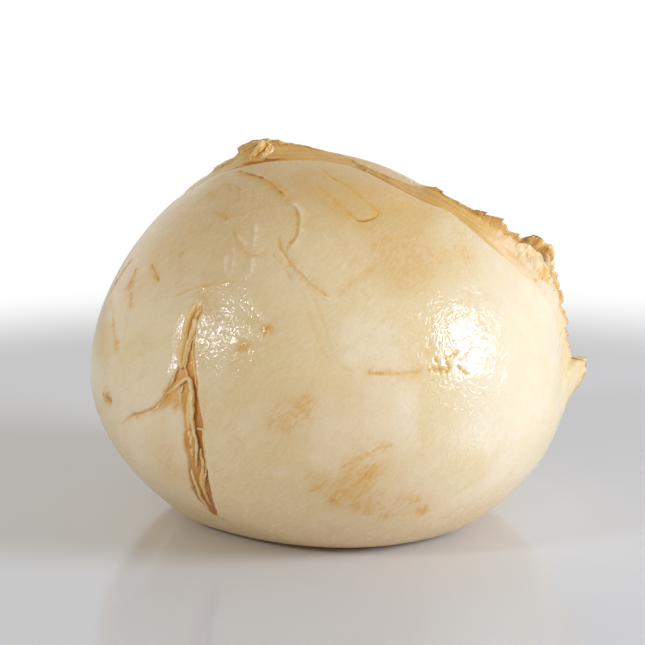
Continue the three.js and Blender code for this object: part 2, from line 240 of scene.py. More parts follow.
# Fine lines of the skin: path, half width and depth in millimetres (a ridge is below 0), and how brown it
# is (a pale vein is below 0)
SKIN_LINES = [
    ([(-78, 67.5), (-60, 69), (-45, 69), (-32, 67), (-20, 62.5)], 0.42, -0.3, 1.5),
    ([(-20, 62.5), (-12, 59), (-10, 53.5), (-10.5, 50), (-13, 46.5)], 0.45, -0.3, -0.7),
    ([(-15.5, 60), (-13, 58), (-11.5, 54.5), (-11.5, 51), (-13.5, 47.5)], 0.3, 0.12, 0.75),
    ([(-12, 50.5), (-13.5, 48.5), (-13.5, 46)], 0.35, 0.08, 0.5),
    ([(-18.5, 50), (-15, 46.5), (-9, 41.5), (-2, 36.5), (2, 34)], 0.32, 0.18, 0.7),
    ([(-14.5, 45.5), (-7.5, 41), (-1, 35.5), (2, 33.5)], 0.4, -0.18, -0.7),
    ([(-19, 46), (-14.5, 43), (-11.5, 40), (-10, 37.5)], 0.35, 0.1, 0.35),
    ([(-8.5, 39), (-6, 34), (-3, 26.5), (-1.5, 22.5), (1, 19.5), (4, 17.5)], 0.5, 0.05, 0.28),
    ([(-5.5, 38), (-2.5, 32.5), (0, 26.5), (0.5, 23), (2, 20), (5, 17.5), (8.5, 16.5)], 0.45, 0.06, 0.32),
    ([(-38.5, 53), (-35.5, 50), (-29.5, 46), (-24.5, 44.5), (-18, 46.5)], 0.35, 0.16, 0.6),
    ([(-34.5, 50.5), (-31.5, 48.5), (-28, 47)], 0.35, -0.2, -0.9),
    ([(-29.5, 54), (-27.5, 51.5), (-26, 48.5), (-25.5, 46.5)], 0.4, -0.2, -0.9),
    ([(-24.5, 44.5), (-23.5, 40), (-25, 38)], 0.4, -0.2, -0.9),
    ([(-33.5, 47), (-31, 43.5), (-30, 40.5), (-30.5, 39)], 0.4, -0.18, -0.9),
    ([(-34, 44), (-32.5, 40.5), (-29.5, 38)], 0.4, -0.18, -0.9),
    ([(-24.5, 35.5), (-21, 32.5), (-16.5, 28), (-15.5, 25.5), (-16, 23)], 0.4, -0.18, -0.6),
    ([(-22, 80), (-7, 77.5), (3.5, 73), (11.5, 69.5), (20, 62), (23.5, 58.5), (22.5, 57), (19.5, 56),
      (15, 55.5), (12.5, 56.5), (5, 62), (-5, 68), (-11, 71)], 0.28, 0.14, 1.1),
    ([(-10, 53), (-5.5, 56.5), (1.5, 59), (11, 59.5)], 0.7, 0.06, 0.4),
    ([(1, 33.5), (7, 38), (14.5, 42), (24, 46.5), (38.5, 52)], 1.0, 0.08, 0.36),
    ([(6, 42), (12, 46), (21, 49.5), (29, 51)], 0.9, 0.08, 0.36),
    ([(9.5, 52), (14.5, 54.5), (21, 57), (29, 59)], 0.8, 0.05, 0.4),
    ([(5.5, 38), (11, 40), (17, 42)], 0.8, 0.05, 0.3),
    ([(34.5, 47.5), (35.5, 45), (37, 42.5), (38.5, 40.5)], 0.3, 0.1, 0.6),
    ([(-78.5, 36), (-79.5, 32.5), (-80.5, 30), (-81, 24.5)], 0.5, -0.2, 1.3),
    ([(-71, 34.5), (-69.5, 32.5), (-68.5, 29.5)], 0.45, -0.1, 1.2),
    ([(-66, 29), (-63.5, 27), (-62, 25)], 0.4, -0.05, 0.9),
    ([(-64, 37), (-59, 35.5), (-54.5, 33.5)], 0.35, 0.08, 1.0),
    ([(-54.5, 33.5), (-54, 28.5), (-53.5, 25.5)], 0.4, -0.15, -0.9),
    ([(-79, 24.5), (-72.5, 22.5), (-69, 20.5), (-65, 17.5), (-62.5, 16)], 0.3, 0.08, 0.9),
    ([(-64.5, 23.5), (-61, 21.5), (-60.5, 18.5), (-62, 16)], 0.3, 0.06, 0.35),
    ([(-68, 3), (-64.5, 3), (-61.5, 2.5)], 0.55, 0.1, 1.3),
    ([(-47.5, 30), (-43, 32.5), (-38.5, 34.5), (-33, 36), (-27.5, 37.5)], 0.35, -0.2, 0.5),
    ([(2, -7), (5.5, -5), (10, -3), (12, -1.5), (17, -0.5)], 0.35, 0.1, 0.55),
    ([(6, -4.5), (8.5, -3.5), (10.5, -2)], 0.7, 0.04, 0.6),
    ([(11, -6.5), (10, -8.5), (8.5, -10), (3.5, -13)], 0.7, 0.05, 0.45),
    ([(0, -14.5), (2, -15), (3, -17), (6, -18.5), (11, -19.5), (16, -21.5), (21, -21), (29.5, -21.5)],
     0.6, 0.06, 0.45),
    ([(0, -13.5), (2, -12.5), (4.5, -13), (8, -15.5)], 0.5, 0.04, 0.4),
    ([(-5, -12.5), (-3, -12), (-1, -11.5)], 0.45, 0.04, 0.5),
    ([(-12.5, 3.5), (-9.5, 6), (-6.5, 8.5), (-4, 10.5)], 0.8, 0.04, 0.3),
    ([(-11.5, 2.5), (-8.5, 4.5), (-5.5, 6.5)], 0.7, 0.04, 0.3),
    ([(8, 16.5), (18, 16), (26, 16), (30, 15.5), (32.5, 14.5)], 0.42, 0.14, 0.75),
    ([(39.5, 22.5), (39.5, 20), (36.5, 18), (34, 16.5)], 0.25, 0.12, 0.4),
    ([(27.5, 19), (28.5, 16.5), (28.5, 14.5)], 0.32, 0.2, 0.8),
    ([(30, 18.5), (31, 16.5), (31, 15.5), (29.5, 14.5)], 0.32, 0.2, 0.8),
    ([(26, 17), (28, 16), (31, 15)], 0.32, 0.18, 0.8),
    ([(30, 18), (32.5, 18.5), (35, 19.5)], 0.3, 0.18, 0.75),
    ([(33.5, 16.5), (35, 14.5), (37, 13.5)], 0.32, 0.2, 0.8),
    ([(-70, 63), (-62, 63), (-55, 61.5)], 0.3, 0.06, 0.8),
    ([(-58, 64), (-54, 63.5), (-50, 63)], 0.3, 0.06, 0.8),
    ([(-70, 59), (-65, 59), (-61, 58.5)], 0.3, 0.06, 0.8),
    ([(-55, 54.5), (-49.5, 54.5), (-44.5, 54), (-42, 53)], 0.35, 0.06, 0.7),
    ([(-18, 50.5), (-16.5, 49), (-16, 47.5)], 0.35, 0.06, 0.6),
    ([(140, 38), (146, 34), (152, 31), (160, 29)], 0.35, 0.12, 0.7),
    ([(-150, 8), (-146, 4), (-144, -1), (-145, -6)], 0.4, 0.12, 0.8),
    ([(118, -4), (124, -6), (131, -7), (137, -11)], 0.35, 0.1, 0.6),
    ([(-172, 52), (-165, 47), (-160, 41), (-158, 36)], 0.4, -0.2, 0.3),
    ([(-118, 30), (-116, 25), (-117, 20)], 0.4, 0.1, 0.8),
    ([(162, 2), (168, -2), (172, -5), (176, -9)], 0.4, -0.15, 0.3),
]

# Soft smoke stains: azimuth, elevation, radius in millimetres, strength
STAINS = [
    (-11.5, 5, 3.2, 0.5), (-8.5, 6.5, 3.4, 0.6), (-5.5, 7.5, 2.8, 0.6), (-4, 9.5, 2.2, 0.5),
    (-10, 3.5, 2.8, 0.4), (10, -8.5, 1.7, 1.2), (11, -6.5, 1.6, 0.8), (9, -10, 1.7, 0.8),
    (2, -15, 1.5, 1.1), (3.5, -13.5, 2.2, 0.7), (11, -19, 1.7, 1.0), (7.5, -17.5, 2.2, 0.6),
    (16, -21.5, 2.2, 0.6), (23.5, -17, 1.6, 0.9), (26, -20.5, 1.8, 1.1), (-3.5, -8.5, 2, 0.5),
    (-2, -11.5, 1.7, 0.7), (5, -12.5, 3, 0.5), (14, -14, 5, 0.25), (20, -18, 4, 0.35), (3, -13, 5, 0.4),
    (6.5, -9, 5, 0.35), (12, -17, 6, 0.35), (22, -19, 5, 0.35), (0, -10, 4, 0.35), (29, 17.5, 1.5, 0.7),
    (30, 15.5, 1.4, 0.8), (27.5, 16.5, 1.2, 0.7), (34, 19, 0.9, 0.7), (35.5, 14.5, 1.3, 0.7),
    (26, 20.5, 1.5, 0.6), (31.5, 16.5, 1.0, 0.6), (-15.5, 26.5, 1.4, 1.1), (-21, 22, 1.4, 1.1),
    (-20.5, 63, 2.2, 0.9), (-36.5, 33, 2.4, 0.6), (-63, 16, 1.5, 1.0), (-68.5, 20, 1.5, 0.8),
    (-68.5, 30, 2, 0.9), (-64.5, 3, 2, 1.0), (-52, 41.5, 0.8, 1.0), (-57, 41.5, 0.8, 1.0),
    (-38, 7.5, 2, 1.2), (49, 42.5, 3, 0.6), (43, 43.5, 2.4, 0.4), (39, 61, 6, 0.4),
    (47.5, 58.5, 5, 0.4), (10, 66, 6, 0.25), (-5, 76, 7, 0.25), (28, 63, 6, 0.35), (-51, 55, 2, 0.3),
    (-45, 54, 1.6, 0.3), (120, 20, 6, 0.4), (150, -8, 7, 0.45), (-150, 15, 6, 0.4), (-125, -5, 5, 0.45),
    (180, 45, 8, 0.3), (95, 2, 5, 0.35), (135, 30, 2.5, 0.8), (128, -6, 2, 0.9), (-146, 2, 2, 0.9),
    (-160, 40, 3, 0.6), (165, 5, 2, 0.8), (-130, -14, 2.5, 0.7), (110, 35, 2, 0.7),
    (-117, 24, 1.8, 0.9),
]

# Soft tints: azimuth, elevation, radius in millimetres, strength (golden above 0, pale below; the strong
# pale ones on the upper left limb are painted rim light)
TINTS = [
    (0, 66.5, 8, 0.5), (-6.5, 75, 8, 0.4), (13, 62.5, 7, 0.4), (25.5, 56.5, 7, 0.6), (24, 47.5, 8, 0.5),
    (23, 39, 7, 0.4), (-8.5, 8, 6, 0.4), (5.5, 10.5, 8, 0.35), (11.5, -8, 9, 0.5), (3.5, -13.5, 6, 0.4),
    (23.5, -18, 7, 0.4), (-41.5, -4, 8, 0.35), (-32.5, 29.5, 5, 0.4), (-65.5, 16.5, 5, 0.2),
    (-22, 22, 4, 0.2), (-7.5, 38.5, 10, -0.5), (-22.5, 50.5, 8, -0.3), (-58.5, 11, 9, -0.4),
    (30, 6.5, 9, -0.4), (57.5, 20.5, 10, -0.4), (56.5, 6.5, 9, -0.3), (-54.5, 28.5, 8, -0.3),
    # The pale tints at azimuths -105 and -94.5 here are painted rim light on the upper left limb.
    (-24.5, -2.5, 9, -0.3), (-105, 60.5, 7, -0.8), (-94.5, 58.5, 7, -0.6), (-41.5, -10.5, 6, 0.25),
    (-42.5, -15.5, 5, 0.2), (-32.5, 19, 4, 0.5), (-73, 14, 5, 0.4), (-80, 18.5, 6, 0.6),
    (130, 10, 10, 0.4), (160, -15, 9, 0.4), (-140, 25, 10, 0.4), (-110, -10, 8, 0.35),
    (175, 40, 12, 0.3), (100, -20, 8, -0.3), (-160, -5, 10, -0.4), (62, -5, 16, -0.6),
    (66, 28, 14, -0.6), (50, 35, 9, -0.4), (38, 66, 8, 0.6), (20, 72, 8, 0.5), (45, 58, 6, 0.5),
    (34, 43, 9, 0.35), (42, 37, 7, 0.25), (17, 6, 9, 0.15), (-15, 2, 9, 0.25), (-4, -2, 8, 0.12),
]

# Where the skin dried into fine wrinkles: azimuth, elevation, radius in millimetres, strength
WRINKLED = [
    (-31, 26, 15, 1.0), (39.5, 18, 18, 1.0), (-14, 52, 14, 0.3), (150, 30, 14, 0.6), (-120, 10, 14, 0.6),
]

BALL_SUBDIVISIONS = 7

# For each round of finer triangles: degrees reached from the seam, millimetres from the lap and from a line
FINER_REACHES = ((5.6, 6.6, 1.2), (1.7, 4.6, 0.45))
LAP_MIDDLE = 1.4
BROAD_LINE = 0.6


def ball_net():
    """A unit ball of triangles that are finer along the seam, the lap and the lines of the skin."""
    net = bmesh.new()
    bmesh.ops.create_icosphere(net, subdivisions=BALL_SUBDIVISIONS, radius=1)
    for seam_reach, lap_reach, line_reach in FINER_REACHES:
        ways = np.array([vertex.co for vertex in net.verts])
        ways = ways / np.linalg.norm(ways, axis=1, keepdims=True)
        around, past = seam_place(ways)
        shown = np.abs(around) < LIP_END
        fine = shown & ((np.abs(past) < seam_reach * 0.6) | (np.abs(past + LIP_ANGLE) < seam_reach))
        fine |= np.abs(path_place(ways, LAP_EDGE)[1] + LAP_MIDDLE) < lap_reach
        fine |= np.abs(path_place(ways, BRANCH)[1]) < 0.4 * lap_reach
        for stops, half_width, *_ in SKIN_LINES:
            if half_width < BROAD_LINE:
                fine |= np.abs(path_place(ways, stops)[1]) < line_reach
        edges = [edge for edge in net.edges if fine[edge.verts[0].index] and fine[edge.verts[1].index]]
        bmesh.ops.subdivide_edges(net, edges=edges, cuts=1, use_grid_fill=True)
        bmesh.ops.triangulate(net, faces=[face for face in net.faces if len(face.verts) > 3])
        net.verts.index_update()
    mesh = bpy.data.meshes.new("cheese_skin")
    net.to_mesh(mesh)
    net.free()
    return mesh


def spots(ways, places):
    """For each place of a table: its strength at unit vectors, which fades out over its radius."""
    for azimuth, elevation, radius, strength in places:
        away = UNIT_BALL_RADIUS * np.linalg.norm(ways - direction(azimuth, elevation), axis=1)
        yield strength * np.exp(-(away / radius) ** 2)


def note(mesh, notes):
    """Notes numbers on each point of a mesh, by name."""
    for name, values in notes.items():
        mesh.attributes.new(name, "FLOAT", "POINT").data.foreach_set("value", values)


def carve(mesh):
    """Moves a unit ball's points where the seam, the lap and the lines are, and notes what colours them."""
    ways = np.zeros(len(mesh.vertices) * 3)
    mesh.vertices.foreach_get("co", ways)
    ways = ways.reshape(-1, 3)
    ways = ways / np.linalg.norm(ways, axis=1, keepdims=True)
    around, past = seam_place(ways)
    lift = seam_lift(ways)
    shown = 1 - smooth(np.abs(around), 90, LIP_END)
    _, _, _, gold, brown_and_shadow_line, brown_and_shadow_width = seam_edge(around)
    band = (1 - smooth(past, -0.3, 0.3)) * (1 - smooth(-past, gold, gold + 1.5)) * shown
    band = band * (1 - 0.75 * smooth(around, 55, 63))
    torn = np.interp(past, SEAM_SECTION[:, 0], SEAM_SECTION[:, 1]) ** 2 * shown
    torn = torn * smooth(lip_height(around), 0.4, 1) * (1 - 0.7 * smooth(around, 66, 76))
    stain = np.zeros(len(ways))
    line = np.zeros(len(ways))
    # Brown line and painted shadow of the gap under the dome's edge, and a second one further back on the
    # left
    behind = np.exp(-((past + 4.1 + 0.3 * waver(around, 1.1, 9)) / 0.5) ** 2) * (1 - smooth(around, -9, -5))
    step = np.maximum(np.exp(-((past - 0.1) / brown_and_shadow_width) ** 2), 1.5 * behind)
    step = brown_and_shadow_line * step * (0.85 + 0.25 * waver(around, 1.7, 8))
    vein = np.zeros(len(ways))
    wrinkled = np.zeros(len(ways))

    run, aside, side = path_place(ways, LAP_EDGE)
    width = np.interp(run, *LAP_WIDTH)
    depth = np.interp(run, *LAP_DEPTH)
    ends = smooth(run, 0, 0.06) * (1 - smooth(run, 0.95, 1))
    aside = aside + 0.22 * waver(run, 0.05, 31) + 0.12 * waver(run, 0.018, 32)
    hollow = 1 + LAP_HOLLOW * np.exp(-((run - 0.2) / 0.16) ** 2)
    inside = smooth(-aside, -0.1, 0.5) * (1 - smooth(-aside / (width * hollow), 0.3, 1.15))
    lift = lift - depth * inside * ends
    lift = lift + LAP_BULGE * np.exp(-np.maximum(aside, 0) / 2.5) * smooth(aside, -0.3, 0.2) * ends
    slide = LAP_OVERHANG * np.exp(-((aside - 0.3) / 0.75) ** 2) * ends
    lap_across = np.clip(-aside / width, -1, 3)
    ragged = 0.12 * waver(run, 0.07, 33) + 0.03 * waver(run, 0.02, 34)
    fold = smooth(-aside, -0.25, 0.15) * (1 - smooth(lap_across + ragged, 0.75, 1.12)) * ends
    # A brown line along the lap's right edge: partly its own brown, partly painted shadow under the
    # overhanging dome.
    line = np.maximum(line, 0.5 * ends * np.exp(-((aside + 0.2) / 0.35) ** 2))

    branch_run, below, _ = path_place(ways, BRANCH)
    fade = smooth(branch_run, 0, 0.12) * (1 - smooth(branch_run, 0.6, 1))
    lift = lift - BRANCH_STEP * fade * np.exp(-np.maximum(below, 0) / 2.6) * smooth(below, -0.1, 0.35)
    lift = lift + 0.3 * fade * np.exp(np.minimum(below, 0) / 3) * smooth(-below, -0.35, 0.1)
    web = (1 - smooth(branch_run, 0.2, 0.5)) * smooth(branch_run, 0, 0.1)
    fold = np.maximum(fold, 0.9 * web * smooth(below, -0.2, 0.2) * (1 - smooth(below, 1.2, 3.2)))
    # The branch's line is partly brown stain and partly painted shade where the upper lobe overlaps the
    # lower one.
    line = np.maximum(line, 0.3 * fade * np.exp(-((below - 0.1) / 0.3) ** 2))
    stain = np.maximum(stain, 0.5 * fade * np.exp(-((below - 0.4) / 1.2) ** 2))

    for number, (stops, half_width, groove, brown) in enumerate(SKIN_LINES):
        line_run, off, _ = path_place(ways, stops)
        taper = smooth(line_run, 0, 0.12) * (1 - smooth(line_run, 0.88, 1))
        broken = 0.65 + 0.25 * waver(line_run, 0.03, 20 + number) + 0.3 * waver(line_run, 0.11, 70 + number)
        lift = lift - groove * taper * broken * np.exp(-(off / half_width) ** 2)
        close = taper * broken * np.exp(-(off / (1.1 * half_width)) ** 2)
        line = np.maximum(line, brown * close)
        vein = np.maximum(vein, -brown * close)
        stain = np.maximum(stain, 0.5 * brown * taper * np.exp(-(off / 1.6) ** 2))
    for spot in spots(ways, STAINS):
        stain = np.maximum(stain, spot)
    for spot in spots(ways, WRINKLED):
        wrinkled = np.maximum(wrinkled, spot)
    tint = sum(spots(ways, TINTS))

    points = ways * (1 + lift / UNIT_BALL_RADIUS)[:, None] - side * (slide / UNIT_BALL_RADIUS)[:, None]
    mesh.vertices.foreach_set("co", points.ravel())
    note(mesh, {"band": band, "torn": torn, "fold": fold, "stain": stain, "line": line, "vein": vein})
    note(mesh, {"step": step, "tint": tint, "around": around, "past": past, "wrinkled": wrinkled})
    note(mesh, {"lap_across": lap_across, "lap_along": run * LAP_LENGTH})


class Wire:
    """One socket of a node tree, which is worked with like a number, a vector or a colour."""

    def __init__(self, tree, socket=None):
        self.tree = tree
        self.socket = socket

    def node(self, kind, settings=None, values=None, output=0):
        """An output of a new node, whose settings come first and whose sockets are then set or linked."""
        made = self.tree.nodes.new(kind)
        for name, setting in (settings or {}).items():
            setattr(made, name, setting)
        for name, value in (values or {}).items():
            if isinstance(value, Wire):
                self.tree.links.new(value.socket, made.inputs[name])
            else:
                made.inputs[name].default_value = value
        return Wire(self.tree, made.outputs[output])

    def parts(self):
        """The three numbers of a vector."""
        split = self.node("ShaderNodeSeparateXYZ", {}, {0: self}).socket.node
        return [Wire(self.tree, output) for output in split.outputs]

    def rise(self, low, high):
        """0 up to low, 1 from high, and a smooth rise between."""
        values = {"Value": self, "From Min": low, "From Max": high}
        return self.node("ShaderNodeMapRange", {"interpolation_type": "SMOOTHSTEP"}, values)

    def blend(self, first, second):
        """The first colour where this is 0, and the second where it is 1."""
        return self.node("ShaderNodeMix", {"data_type": "RGBA"}, {0: self, 6: first, 7: second}, 2)

    def speckle(self, scale, detail=2.0, roughness=0.5, distortion=0.0):
        """Noise between 0 and 1 at a place."""
        values = {"Vector": self, "Scale": scale, "Detail": detail}
        values.update({"Roughness": roughness, "Distortion": distortion})
        return self.node("ShaderNodeTexNoise", {}, values)

    def bump(self, strength, distance):
        """The normal of a surface with this relief, which is as deep as the distance in metres."""
        return self.node("ShaderNodeBump", {}, {"Strength": strength, "Distance": distance, "Height": self})

    def __add__(self, other):
        return worked("ADD", self, other)

    def __radd__(self, other):
        return worked("ADD", other, self)

    def __sub__(self, other):
        return worked("SUBTRACT", self, other)

    def __rsub__(self, other):
        return worked("SUBTRACT", other, self)

    def __mul__(self, other):
        return worked("MULTIPLY", self, other)

    def __rmul__(self, other):
        return worked("MULTIPLY", other, self)

    def __truediv__(self, other):
        return worked("DIVIDE", self, other)

    def __rtruediv__(self, other):
        return worked("DIVIDE", other, self)


def is_vector(value):
    if isinstance(value, Wire):
        return value.socket.type in ("VECTOR", "RGBA")
    return not isinstance(value, (int, float))


def worked(operation, *values):
    """The result of a Math node, or of a Vector Math node where any of the values is a vector."""
    wire = next(value for value in values if isinstance(value, Wire))
    vector = any(is_vector(value) for value in values)
    kind = "ShaderNodeVectorMath" if vector else "ShaderNodeMath"
    wide = [(value,) * 3 if vector and isinstance(value, (int, float)) else value for value in values]
    output = 1 if operation in ("DOT_PRODUCT", "LENGTH") else 0
    return wire.node(kind, {"operation": operation}, dict(enumerate(wide)), output)


def vector_of(across, deep, up=0.0):
    """A vector from three numbers, of which the first is a wire."""
    return across.node("ShaderNodeCombineXYZ", {}, {0: across, 1: deep, 2: up})


def on_skin(point, sizes):
    """Where a point round the unit ball comes to lie when that swells into the cheese and settles flat."""
    length = worked("LENGTH", point)
    way = point / length
    across, deep, up = way.parts()
    drop = sizes["Bottom Drop"]
    height = drop + (sizes["Crown Rise"] - drop) * worked("GREATER_THAN", up, 0.0)
    shares = [across / sizes["Half Width"], deep / sizes["Half Depth"], up / height]
    radius = 1.0 / worked("SQRT", sum(share * share for share in shares))
    for azimuth, elevation, swell, spread in BALL_LOBES:
        closeness = worked("DOT_PRODUCT", way, tuple(direction(azimuth, elevation)))
        radius = radius + swell * worked("EXPONENT", (closeness - 1.0) / spread)
    place = way * (radius + (length - 1.0) * UNIT_BALL_RADIUS)
    across, deep, up = place.parts()
    raw = up + (sizes["Middle Height"] + sizes["Settle Cut"])
    settled = (raw + worked("SQRT", raw * raw + sizes["Settle Blend"] * sizes["Settle Blend"])) / 2.0
    settled = worked("MAXIMUM", settled - sizes["Settle Cut"], 0.0)
    return vector_of(across, deep, settled) * MILLIMETRE


def new_tree(name, sizes):
    """A Geometry Nodes tree with a named input for each size, and its inputs as wires."""
    tree = bpy.data.node_groups.new(name, "GeometryNodeTree")
    tree.interface.new_socket("Geometry", in_out="OUTPUT", socket_type="NodeSocketGeometry")
    tree.interface.new_socket("Geometry", in_out="INPUT", socket_type="NodeSocketGeometry")
    for size, value in sizes.items():
        kind = "NodeSocketInt" if isinstance(value, int) else "NodeSocketFloat"
        tree.interface.new_socket(size, in_out="INPUT", socket_type=kind).default_value = value
    entry = tree.nodes.new("NodeGroupInput")
    return tree, {socket.name: Wire(tree, socket) for socket in entry.outputs if socket.name}


def close_tree(geometry, material):
    """Ends a tree: smooth faces, no instances, one material."""
    made = geometry.node("GeometryNodeSetShadeSmooth", {}, {"Geometry": geometry})
    made = made.node("GeometryNodeRealizeInstances", {}, {"Geometry": made})
    made = made.node("GeometryNodeSetMaterial", {}, {"Geometry": made, "Material": material})
    exit_node = geometry.tree.nodes.new("NodeGroupOutput")
    geometry.tree.links.new(made.socket, exit_node.inputs[0])


def grown(name, mesh, tree, sizes):
    """An object whose plain mesh is what the tree makes of the given mesh with these sizes."""
    piece = bpy.data.objects.new(name, mesh)
    bpy.context.scene.collection.objects.link(piece)
    modifier = piece.modifiers.new("form", "NODES")
    modifier.node_group = tree
    for socket in tree.interface.items_tree:
        if socket.in_out == "INPUT" and socket.name in sizes:
            modifier[socket.identifier] = sizes[socket.name]
    graph = bpy.context.evaluated_depsgraph_get()
    made = bpy.data.meshes.new_from_object(piece.evaluated_get(graph))
    piece.modifiers.clear()
    piece.data = made
    return piece


def tone(red, green, blue):
    """A colour as Blender holds it, from its red, green and blue out of 255 on a screen."""
    shares = np.array([red, green, blue]) / 255
    light = np.where(shares <= 0.04045, shares / 12.92, ((shares + 0.055) / 1.055) ** 2.4)
    return (*light.tolist(), 1.0)


def new_material(name, settings):
    """A new material, its Principled shader, with plain settings made on its own sockets, and its tree."""
    material = bpy.data.materials.new(name)
    material.use_nodes = True
    shader = material.node_tree.nodes["Principled BSDF"]
    for socket, value in settings.items():
        shader.inputs[socket].default_value = value
    return material, shader, Wire(material.node_tree)


def named(start, name):
    """A number noted on each point of a mesh, read by a material."""
    return start.node("ShaderNodeAttribute", {"attribute_name": name}, {}, "Fac")


def in_millimetres(start):
    """The place of a point of the part in millimetres, read by a material."""
    return start.node("ShaderNodeTexCoord", {}, {}, "Object") * (1 / MILLIMETRE)


def feed(shader, socket, wire):
    wire.tree.links.new(wire.socket, shader.inputs[socket])


CREAM = tone(238, 215, 169)
PALE_CREAM = tone(246, 229, 199)
WARM_CREAM = tone(228, 192, 132)
STAIN_AND_SHADE_GOLD = tone(232, 184, 104)
STAIN_AND_SHADE_BROWN = tone(184, 122, 52)
FOLD_LIGHT = tone(255, 206, 128)
FOLD_TAN = tone(224, 166, 86)
FOLD_BROWN = tone(212, 150, 70)
FOLD_DEEP_BROWN_AND_SHADE = tone(198, 134, 58)
BAND_GOLD = tone(226, 183, 104)
BAND_GOLD_FOR_SHADE = tone(228, 184, 116)
BAND_BROWN = tone(190, 134, 62)
SKIN_RELIEF = 0.00018

skin, skin_shader, start = new_material("smoked_skin", {
    "IOR": 1.5,
    "Subsurface Weight": 0.4,
    "Subsurface Radius": (1.0, 0.62, 0.32),
    "Subsurface Scale": 0.0012,
})
place = in_millimetres(start)
broad = place.speckle(0.045, 3, 0.55, 0.6)
middling = place.speckle(0.16, 4, 0.6, 0.8)
across, deep, up = place.parts()
slant = vector_of((across + up) * 0.1, deep * 0.2, (up - across) * 0.42)
fibre = slant.speckle(1.0, 4, 0.65, 1.2)
fine = place.speckle(1.6, 3, 0.6)
crown = ((up - 50.0) / 30.0 + (broad - 0.5) * 1.6).rise(-0.1, 1.1)
underside = ((18.0 - up) / 18.0 + (broad - 0.5) * 1.2).rise(0.0, 1.1)
colour = broad.rise(0.4, 0.62).blend(CREAM, PALE_CREAM)
colour = (worked("MAXIMUM", crown, underside) * 0.8).blend(colour, WARM_CREAM)
colour = (middling.rise(0.48, 0.72) * (0.12 + 0.4 * crown)).blend(colour, WARM_CREAM)
colour = (fibre.rise(0.5, 0.8) * 0.25).blend(colour, WARM_CREAM)
strokes = vector_of((across + up) * 0.22, deep * 0.4, (up - across) * 0.9).speckle(1.0, 3, 0.6, 1.5)
colour = (strokes.rise(0.48, 0.72) * 0.5).blend(colour, PALE_CREAM)
colour = ((1.0 - strokes).rise(0.52, 0.75) * 0.32).blend(colour, WARM_CREAM)
colour = (fine.rise(0.5, 0.75) * 0.25).blend(colour, WARM_CREAM)
colour = ((1.0 - fine).rise(0.5, 0.75) * 0.3).blend(colour, PALE_CREAM)
tint = named(start, "tint")
colour = ((0.0 - tint).rise(0.0, 1.0) * 0.6).blend(colour, PALE_CREAM)
streaky = 0.2 + 0.7 * middling + 0.6 * strokes.rise(0.38, 0.62)
colour = (tint.rise(0.0, 0.9) * streaky).blend(colour, WARM_CREAM)
colour = (named(start, "vein").rise(0.05, 0.7) * 0.85).blend(colour, PALE_CREAM)
blotch = 0.3 + 0.9 * middling.rise(0.3, 0.75) + 0.8 * strokes.rise(0.4, 0.65)
grain = (0.5 + 0.8 * fibre.rise(0.3, 0.75)) * (0.85 + 0.3 * fine.rise(0.35, 0.65))
patches = named(start, "stain") * blotch * grain
colour = (patches.rise(0.0, 0.9) * 0.85).blend(colour, STAIN_AND_SHADE_GOLD)
colour = (patches.rise(0.7, 1.6) * 0.5).blend(colour, STAIN_AND_SHADE_BROWN)
# Brown lines: the skin's own lines, and painted shade along the lap's right edge and along the branch.
lines = named(start, "line") * (0.7 + 0.6 * fine)
colour = lines.rise(0.05, 0.7).blend(colour, STAIN_AND_SHADE_GOLD)
colour = lines.rise(0.45, 1.2).blend(colour, STAIN_AND_SHADE_BROWN)
around = named(start, "around")
streak = vector_of(named(start, "past") * 1.6, around * 0.1).speckle(1.0, 4, 0.65, 0.4)
band = named(start, "band")
# The band's gold in two copies: a bluer one on the left, in the key light's shade under the warm room light:
# painted shade.
gold = around.rise(20.0, 46.0).blend(BAND_GOLD_FOR_SHADE, BAND_GOLD)
# Paler towards the collar's left end on the upper left limb: partly its own paler skin, partly painted rim
# light.
gold = ((0.0 - around).rise(16.0, 28.0) * 0.7).blend(gold, PALE_CREAM)
colour = (band * (0.75 + 0.5 * streak)).rise(0.1, 1.0).blend(colour, gold)
browner = around.rise(6.0, 18.0) * (1.0 - around.rise(30.0, 40.0))
streaked = (streak + 0.12 * browner).rise(0.45, 0.8)
colour = (band * streaked * (0.45 + 0.38 * browner)).blend(colour, BAND_BROWN)
colour = (band * (1.0 - streak).rise(0.55, 0.8) * 0.5).blend(colour, PALE_CREAM)
colour = (band * fine.rise(0.56, 0.72) * 0.4).blend(colour, PALE_CREAM)
torn = named(start, "torn")
colour = (torn + (middling - 0.5) * 0.9).rise(0.2, 0.8).blend(colour, BAND_GOLD)
colour = (torn * (0.5 + fine) + (middling - 0.5) * 1.2).rise(0.6, 1.2).blend(colour, STAIN_AND_SHADE_BROWN)
# The dome's edge: a brown line with painted shadow of the gap under the edge.
step = named(start, "step")
colour = step.rise(0.1, 0.6).blend(colour, STAIN_AND_SHADE_GOLD)
colour = step.rise(0.4, 1.0).blend(colour, STAIN_AND_SHADE_BROWN)
fold = named(start, "fold")
lap_across = named(start, "lap_across")
lap_along = named(start, "lap_along")
groove = vector_of(lap_across * 4.0, lap_along * 0.11).speckle(1.0, 4, 0.65, 0.6)
